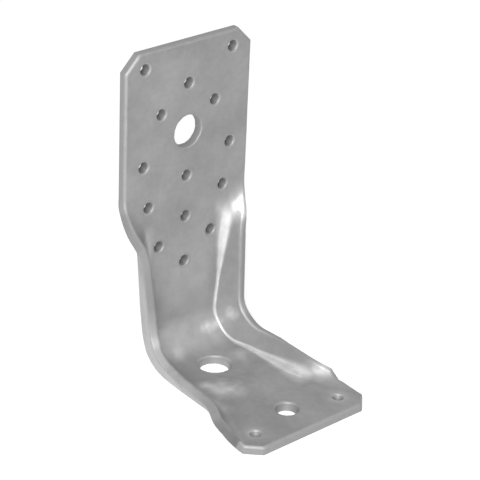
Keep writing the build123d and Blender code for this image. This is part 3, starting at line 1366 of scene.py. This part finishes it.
class Wiring:
    """Adds nodes to one node tree and joins them.

    The constants are the places of a mix node's sockets for colours.
    """

    MIX_SHARE, MIX_FIRST, MIX_SECOND, MIX_RESULT = 0, 6, 7, 2

    def __init__(self, tree: bpy.types.NodeTree) -> None:
        """Keeps the tree."""
        self.tree = tree

    def join(self, value: object, socket: bpy.types.NodeSocket) -> None:
        """Links an output to an input, or sets the input to a plain value.

        Args:
            value: Output socket, number or colour.
            socket: The input.
        """
        if isinstance(value, bpy.types.NodeSocket):
            self.tree.links.new(value, socket)
        else:
            socket.default_value = value

    def add(self, kind: str, **settings: object) -> bpy.types.Node:
        """Adds a node.

        Args:
            kind: Blender's name of the node type.
            settings: Values of the node's own settings.

        Returns:
            The node.
        """
        node = self.tree.nodes.new(kind)
        for name, value in settings.items():
            setattr(node, name, value)
        return node

    def math(self, operation: str, *values: object) -> bpy.types.NodeSocket:
        """Adds a math node.

        Args:
            operation: Blender's name of the operation.
            values: Numbers or sockets for the inputs.

        Returns:
            The result's socket.
        """
        node = self.add("ShaderNodeMath", operation=operation)
        for value, socket in zip(values, node.inputs):
            self.join(value, socket)
        return node.outputs[0]

    def noise(self, scale: object, detail: float, roughness: float) -> bpy.types.NodeSocket:
        """Adds a noise texture over the object's own coordinates.

        Args:
            scale: Number or socket for the scale.
            detail: Octaves.
            roughness: Share of each finer octave.

        Returns:
            The noise value's socket.
        """
        node = self.add("ShaderNodeTexNoise")
        place = self.add("ShaderNodeTexCoord").outputs["Object"]
        inputs = {"Vector": place, "Scale": scale, "Detail": detail, "Roughness": roughness}
        for name, value in inputs.items():
            self.join(value, node.inputs[name])
        return node.outputs["Fac"]

    def spread(
        self,
        value: bpy.types.NodeSocket,
        source: tuple[float, float],
        result: tuple[float, float] = (0.0, 1.0),
    ) -> bpy.types.NodeSocket:
        """Spreads a range of a value over another range, clamped.

        Args:
            value: The socket to spread.
            source: Low and high end of the range to take.
            result: What these ends become.

        Returns:
            The result's socket.
        """
        node = self.add("ShaderNodeMapRange")
        ends = dict(zip(("From Min", "From Max", "To Min", "To Max"), (*source, *result)))
        for name, number in {"Value": value, **ends}.items():
            self.join(number, node.inputs[name])
        return node.outputs["Result"]

    def mix(self, share: object, first: object, second: object) -> bpy.types.NodeSocket:
        """Mixes two colours.

        Args:
            share: Share of the second colour.
            first: First colour or its socket.
            second: Second colour or its socket.

        Returns:
            The colour's socket.
        """
        node = self.add("ShaderNodeMix", data_type="RGBA")
        self.join(share, node.inputs[self.MIX_SHARE])
        self.join(first, node.inputs[self.MIX_FIRST])
        self.join(second, node.inputs[self.MIX_SECOND])
        return node.outputs[self.MIX_RESULT]

    def clamp(self, value: bpy.types.NodeSocket) -> bpy.types.NodeSocket:
        """Keeps a value from 0 to 1.

        Args:
            value: The socket to clamp.

        Returns:
            The result's socket.
        """
        node = self.add("ShaderNodeClamp")
        self.join(value, node.inputs["Value"])
        return node.outputs["Result"]

    def layer(self, layer: Layer) -> bpy.types.NodeSocket:
        """Reads a layer of the mesh."""
        return self.add("ShaderNodeAttribute", attribute_name=layer.value).outputs["Fac"]

    def effect(self, group: bpy.types.NodeTree) -> bpy.types.NodeSocket:
        """Places a node group and gives its one output."""
        return self.add("ShaderNodeGroup", node_tree=group).outputs[0]

    def seen_white(self) -> bpy.types.NodeSocket:
        """Tells the rays that see the white studio: camera, gloss and transmission.

        Returns:
            Socket that is 1 for them and 0 for the others.
        """
        path = self.add("ShaderNodeLightPath")
        camera, glossy, transmission = (path.outputs[ray.value] for ray in Ray)
        return self.math("MAXIMUM", self.math("MAXIMUM", camera, glossy), transmission)


class EffectGroup(Wiring):
    """Node group of one effect, with named inputs and one output."""

    def __init__(self, name: str, output: str, **inputs: float) -> None:
        """Makes the group and its sockets.

        Args:
            name: Name of the group.
            output: Name of its output.
            inputs: Names of its inputs, with _ for a space, and their usual values.
        """
        super().__init__(bpy.data.node_groups.new(name, "ShaderNodeTree"))
        for key, value in inputs.items():
            title = key.replace("_", " ").title()
            self._socket(title, "INPUT").default_value = value
        self._socket(output, "OUTPUT")
        self.given = self.add("NodeGroupInput").outputs
        self.end = self.add("NodeGroupOutput")

    def _socket(self, name: str, way: str) -> bpy.types.NodeTreeInterfaceSocket:
        """Makes an input or output of the group."""
        return self.tree.interface.new_socket(name=name, in_out=way, socket_type="NodeSocketFloat")

    def finish(self, value: bpy.types.NodeSocket) -> bpy.types.NodeTree:
        """Puts a value out and gives the finished group."""
        self.join(value, self.end.inputs[0])
        return self.tree

    def blend(self, share: object, first: object, second: object) -> bpy.types.NodeSocket:
        """Mixes two values.

        Args:
            share: Share of the second value.
            first: First value.
            second: Second value.

        Returns:
            The mixed value's socket.
        """
        rest = self.math("SUBTRACT", 1.0, share)
        return self.math("ADD", self.math("MULTIPLY", second, share), self.math("MULTIPLY", first, rest))


class SteelEffects:
    """Node groups of the coat: its clouds, grain, rubbed rims, and its pale abrasions with the painted
    highlights.
    """

    def __init__(self) -> None:
        """Builds the groups once."""
        self.mottle = self._mottle()
        self.grain = self._grain()
        self.rubbed = self._rubbed()
        self.highlight_and_scuff = self._highlight_and_scuff()

    @staticmethod
    def _mottle() -> bpy.types.NodeTree:
        """Cloudy patches of the zinc coat.

        Returns:
            The group, which gives a value from 0 to 1.
        """
        group = EffectGroup("zinc_mottle", "Value", cloud_scale=55.0, fleck_scale=420.0, fleck_share=0.3)
        cloud = group.noise(group.given["Cloud Scale"], detail=4.0, roughness=0.55)
        fleck = group.noise(group.given["Fleck Scale"], detail=3.0, roughness=0.6)
        clouds = group.spread(cloud, source=(0.34, 0.66))
        flecks = group.spread(fleck, source=(0.32, 0.68))
        return group.finish(group.blend(group.given["Fleck Share"], clouds, flecks))

    @staticmethod
    def _grain() -> bpy.types.NodeTree:
        """Fine relief of the coat.

        Returns:
            The group, which gives a height.
        """
        group = EffectGroup("coat_grain", "Height", grain_scale=1400.0, peel_scale=260.0, peel_share=0.5)
        grain = group.noise(group.given["Grain Scale"], detail=3.0, roughness=0.6)
        peel = group.noise(group.given["Peel Scale"], detail=2.0, roughness=0.5)
        return group.finish(group.blend(group.given["Peel Share"], grain, peel))

    @staticmethod
    def _rubbed() -> bpy.types.NodeTree:
        """Rims rubbed bright, broken up by noise.

        Returns:
            The group, which gives a mask.
        """
        group = EffectGroup(
            "rubbed_rims", "Mask", reach=0.6, break_up=0.5, break_scale=300.0, firmness=2.5
        )
        noise = group.noise(group.given["Break Scale"], detail=3.0, roughness=0.6)
        cut = group.math("MULTIPLY", group.spread(noise, source=(0.3, 0.7)), group.given["Break Up"])
        near = group.math("SUBTRACT", group.layer(Layer.RIM), group.given["Reach"])
        firm = group.math("MULTIPLY", near, group.given["Firmness"])
        return group.finish(group.clamp(group.math("SUBTRACT", firm, cut)))

    @staticmethod
    def _highlight_and_scuff() -> bpy.types.NodeTree:
        """Painted highlights along the root folds and over the heel bend, and pale abrasions, patchy.

        Returns:
            The group, which gives a mask.
        """
        # Mask of the painted highlights along the folds and over the heel bend, and of the pale abrasions.
        group = EffectGroup(
            "painted_highlights_and_scuffs", "Mask", fold_share=0.82, heel_share=0.27, scuff_share=1.1, patch_scale=190.0
        )
        fold = group.math("MULTIPLY", group.layer(Layer.FOLD), group.given["Fold Share"])
        heel = group.math("MULTIPLY", group.layer(Layer.HEEL), group.given["Heel Share"])
        scuff_and_highlight = group.math("MULTIPLY", group.layer(Layer.SCUFF), group.given["Scuff Share"])
        patch = group.noise(group.given["Patch Scale"], detail=2.0, roughness=0.5)
        torn = group.spread(patch, source=(0.34, 0.62), result=(0.45, 1.0))
        calm = group.spread(patch, source=(0.36, 0.64), result=(0.72, 1.0))
        # Painted highlights along the root folds and over the heel bend, broken up.
        pressed = group.math("MULTIPLY", group.math("MAXIMUM", fold, heel), calm)
        # Pale abrasions and painted highlights, broken up.
        patchy_scuff_and_highlight = group.math("MULTIPLY", scuff_and_highlight, torn)
        return group.finish(group.clamp(group.math("MAXIMUM", patchy_scuff_and_highlight, pressed)))


@dataclass(frozen=True)
class ZincCoat:
    """Dull zinc coat of the sheet, worn, with painted highlights and painted shade in the holes.

    Attributes:
        name: Name of the material.
        dark: Colour of the darker clouds.
        pale: Colour of the paler clouds.
        bright: Colour of rubbed rims.
        highlight_and_scuff_colour: Colour of the painted highlights along the root folds and over the heel
            bend, and of the pale abrasions.
        sheared: Colour of the sheared edges.
        wall_shade_colour: Painted shade deep in the holes.
        metal: Share of bare metal; the rest is matt zinc bloom.
        smooth: Roughness of the smoother clouds.
        rough: Roughness of the duller clouds.
        highlight_and_scuff_smooths: How much smoother it is under the painted highlights and the pale
            abrasions.
        rim_roughens: How much rougher it is on the rims.
        relief: Strength of the fine relief.
        relief_depth: Depth of the fine relief, in metres.
    """

    name: str = "zinc_coat"
    dark: Colour = grey(0.245)
    pale: Colour = grey(0.320)
    bright: Colour = grey(0.34)
    highlight_and_scuff_colour: Colour = grey(0.80)
    sheared: Colour = grey(0.300)
    wall_shade_colour: Colour = grey(0.035)
    metal: float = 0.45
    smooth: float = 0.36
    rough: float = 0.46
    highlight_and_scuff_smooths: float = 0.14
    rim_roughens: float = 0.16
    relief: float = 0.05
    relief_depth: float = 0.0004

    def build(self, effects: SteelEffects) -> bpy.types.Material:
        """Builds the material.

        Args:
            effects: The shared node groups.

        Returns:
            The material.
        """
        material = bpy.data.materials.new(self.name)
        material.use_nodes = True
        wiring = Wiring(material.node_tree)
        shader = material.node_tree.nodes["Principled BSDF"]
        shader.inputs["Metallic"].default_value = self.metal
        mottle, highlight_and_scuff = wiring.effect(effects.mottle), wiring.effect(effects.highlight_and_scuff)
        colour = wiring.mix(mottle, self.dark, self.pale)
        colour = wiring.mix(wiring.effect(effects.rubbed), colour, self.bright)
        colour = wiring.mix(wiring.layer(Layer.WALL), colour, self.sheared)
        # Painted highlights along the folds and over the heel bend, and pale abrasions.
        colour = wiring.mix(highlight_and_scuff, colour, self.highlight_and_scuff_colour)
        # Painted shade deep in the holes.
        colour = wiring.mix(wiring.layer(Layer.BORE), colour, self.wall_shade_colour)
        wiring.join(colour, shader.inputs["Base Color"])
        roughness = wiring.spread(mottle, source=(0.0, 1.0), result=(self.rough, self.smooth))
        smoother = wiring.math("MULTIPLY", highlight_and_scuff, self.highlight_and_scuff_smooths)
        rougher = wiring.math("MULTIPLY", wiring.layer(Layer.RIM), self.rim_roughens)
        roughness = wiring.math("ADD", wiring.math("SUBTRACT", roughness, smoother), rougher)
        wiring.join(roughness, shader.inputs["Roughness"])
        bump = wiring.add("ShaderNodeBump")
        bump.inputs["Strength"].default_value = self.relief
        bump.inputs["Distance"].default_value = self.relief_depth
        wiring.join(wiring.effect(effects.grain), bump.inputs["Height"])
        wiring.join(bump.outputs["Normal"], shader.inputs["Normal"])
        return material


@dataclass(frozen=True)
class StudioPaper:
    """White paper of the studio floor, which glows white to the camera and keeps the shadow.

    Attributes:
        name: Name of the material.
        colour: Colour of the paper.
        roughness: Roughness of the paper.
        glow: Light that the paper adds of its own for the rays that see the white studio.
    """

    name: str = "studio_paper"
    colour: Colour = grey(0.8)
    roughness: float = 0.9
    glow: float = 0.62

    def build(self) -> bpy.types.Material:
        """Builds the material.

        Returns:
            The material.
        """
        material = bpy.data.materials.new(self.name)
        material.use_nodes = True
        wiring = Wiring(material.node_tree)
        shader = material.node_tree.nodes["Principled BSDF"]
        shader.inputs["Base Color"].default_value = self.colour
        shader.inputs["Roughness"].default_value = self.roughness
        shader.inputs["Specular IOR Level"].default_value = 0.0
        glow = wiring.add("ShaderNodeEmission")
        wiring.join(wiring.math("MULTIPLY", wiring.seen_white(), self.glow), glow.inputs["Strength"])
        both = wiring.add("ShaderNodeAddShader")
        wiring.join(shader.outputs[0], both.inputs[0])
        wiring.join(glow.outputs[0], both.inputs[1])
        wiring.join(both.outputs[0], material.node_tree.nodes["Material Output"].inputs["Surface"])
        return material


# Studio


def way_to(azimuth: float, elevation: float) -> Vector:
    """Unit vector from the object towards a compass direction and height.

    Args:
        azimuth: Direction round the object in degrees, 0 in front of it.
        elevation: Height above the horizon in degrees.

    Returns:
        The vector.
    """
    a, e = math.radians(azimuth), math.radians(elevation)
    return Vector((math.sin(a) * math.cos(e), -math.cos(a) * math.cos(e), math.sin(e)))


@dataclass(frozen=True)
class SoftBox:
    """Square soft lamp.

    Attributes:
        name: Name of the lamp.
        azimuth: Direction round the object in degrees, 0 in front of it.
        elevation: Height above the horizon in degrees.
        brightness: Radiance of its face, in watts for a square metre and steradian.
        distance: From what it faces, in metres.
        side: Length of its sides, in metres.
    """

    name: str
    azimuth: float
    elevation: float
    brightness: float
    distance: float = 1.0
    side: float = 0.39

    def place(self, target: Vector) -> bpy.types.Object:
        """Adds the lamp, facing a target.

        Args:
            target: Point that the lamp faces.

        Returns:
            The lamp object.
        """
        way = way_to(self.azimuth, self.elevation)
        data = bpy.data.lights.new(self.name, "AREA")
        data.shape = "RECTANGLE"
        data.size = self.side
        data.size_y = self.side
        data.energy = self.brightness * math.pi * self.side**2
        lamp = bpy.data.objects.new(self.name, data)
        lamp.location = target + way * self.distance
        lamp.rotation_euler = (-way).to_track_quat("-Z", "Y").to_euler()
        bpy.context.scene.collection.objects.link(lamp)
        LOG.info("lamp %s at %s", self.name, tuple(round(c, 3) for c in lamp.location))
        return lamp


@dataclass(frozen=True)
class Studio:
    """White floor, white surroundings and soft lamps round the bracket.

    Attributes:
        surround: Light of the surroundings on the object.
        floor_reach: Half the side of the floor, in metres.
        floor_drop: How far the floor lies under the object, in metres.
        aim_height: Height that the lamps face, in metres.
        boxes: The lamps.
    """

    surround: float = 0.3
    floor_reach: float = 6.0
    floor_drop: float = 0.0002
    aim_height: float = 0.06
    boxes: tuple[SoftBox, ...] = (
        SoftBox("key_box", -45.0, 27.0, 18.0),
        SoftBox("top_box", -55.0, 52.0, 4.0),
    )

    def build(self) -> None:
        """Adds the floor, the world and the lamps."""
        self._floor()
        self._world()
        for box in self.boxes:
            box.place(Vector((0.0, 0.0, self.aim_height)))

    def _floor(self) -> None:
        """Paper floor just under the bracket."""
        signs = ((-1, -1), (1, -1), (1, 1), (-1, 1))
        corners = [(x * self.floor_reach, y * self.floor_reach, 0.0) for x, y in signs]
        mesh = bpy.data.meshes.new("studio_floor")
        mesh.from_pydata(corners, [], [(0, 1, 2, 3)])
        mesh.materials.append(StudioPaper().build())
        floor = bpy.data.objects.new("studio_floor", mesh)
        floor.location.z = -self.floor_drop
        bpy.context.scene.collection.objects.link(floor)
        LOG.info("studio_floor: %.1f m square", 2 * self.floor_reach)

    def _world(self) -> None:
        """Surroundings: white to camera and gloss, and a plain level of light elsewhere."""
        world = bpy.data.worlds.new("studio_world")
        bpy.context.scene.world = world
        world.use_nodes = True
        world.node_tree.nodes.clear()
        wiring = Wiring(world.node_tree)
        strength = wiring.spread(wiring.seen_white(), source=(0.0, 1.0), result=(self.surround, 1.0))
        back = wiring.add("ShaderNodeBackground")
        back.inputs["Color"].default_value = grey(1.0)
        wiring.join(strength, back.inputs["Strength"])
        wiring.join(back.outputs[0], wiring.add("ShaderNodeOutputWorld").inputs["Surface"])


@dataclass(frozen=True)
class PhotoView:
    """Camera at the photograph's viewing angle.

    Attributes:
        azimuth: Direction of the camera round the object in degrees, 0 in front of it.
        elevation: Height above the horizon in degrees.
        roll: Tilt of the camera about its own axis, in degrees.
        distance: From the target, in metres.
        target: Point at the middle of the picture, in metres.
        sensor: Width of the sensor in millimetres.
        lens: Focal length in millimetres.
        nearest: Distance at which the view starts, in metres.
    """

    azimuth: float = -42.463
    elevation: float = 26.747
    roll: float = 2.4515
    distance: float = 0.810774
    target: tuple[float, float, float] = (0.0114548, 0.018, 0.0581765)
    sensor: float = 36.0
    lens: float = 148.671
    nearest: float = 0.01

    def build(self) -> bpy.types.Object:
        """Adds the camera and makes it the scene's own.

        Returns:
            The camera object.
        """
        back = way_to(self.azimuth, self.elevation)
        turn, roll = math.radians(self.azimuth), math.radians(self.roll)
        level = Vector((math.cos(turn), math.sin(turn), 0.0))
        upward = back.cross(level)
        right = level * math.cos(roll) + upward * math.sin(roll)
        up = upward * math.cos(roll) - level * math.sin(roll)
        place = Vector(self.target) + back * self.distance
        data = bpy.data.cameras.new("photo_camera")
        data.sensor_width = self.sensor
        data.lens = self.lens
        data.clip_start = self.nearest
        camera = bpy.data.objects.new("photo_camera", data)
        turned = Matrix((right, up, back)).transposed().to_4x4()
        camera.matrix_world = Matrix.Translation(place) @ turned
        bpy.context.scene.collection.objects.link(camera)
        bpy.context.scene.camera = camera
        LOG.info("photo_camera at %s", tuple(round(c, 3) for c in place))
        return camera


# Putting it together


def main() -> None:
    """Builds the bracket, its finish, the studio and the camera."""
    logging.basicConfig(level=logging.INFO, format="%(name)s: %(message)s")
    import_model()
    sheet = BracketSheet().build()
    effects = SteelEffects()
    sheet.data.materials.append(ZincCoat().build(effects))
    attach(sheet, "root")
    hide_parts(NODE_NAME)
    Studio().build()
    PhotoView().build()
    bpy.context.scene.view_settings.view_transform = "Standard"
    bpy.context.view_layer.update()


if __name__ == "__main__":
    main()
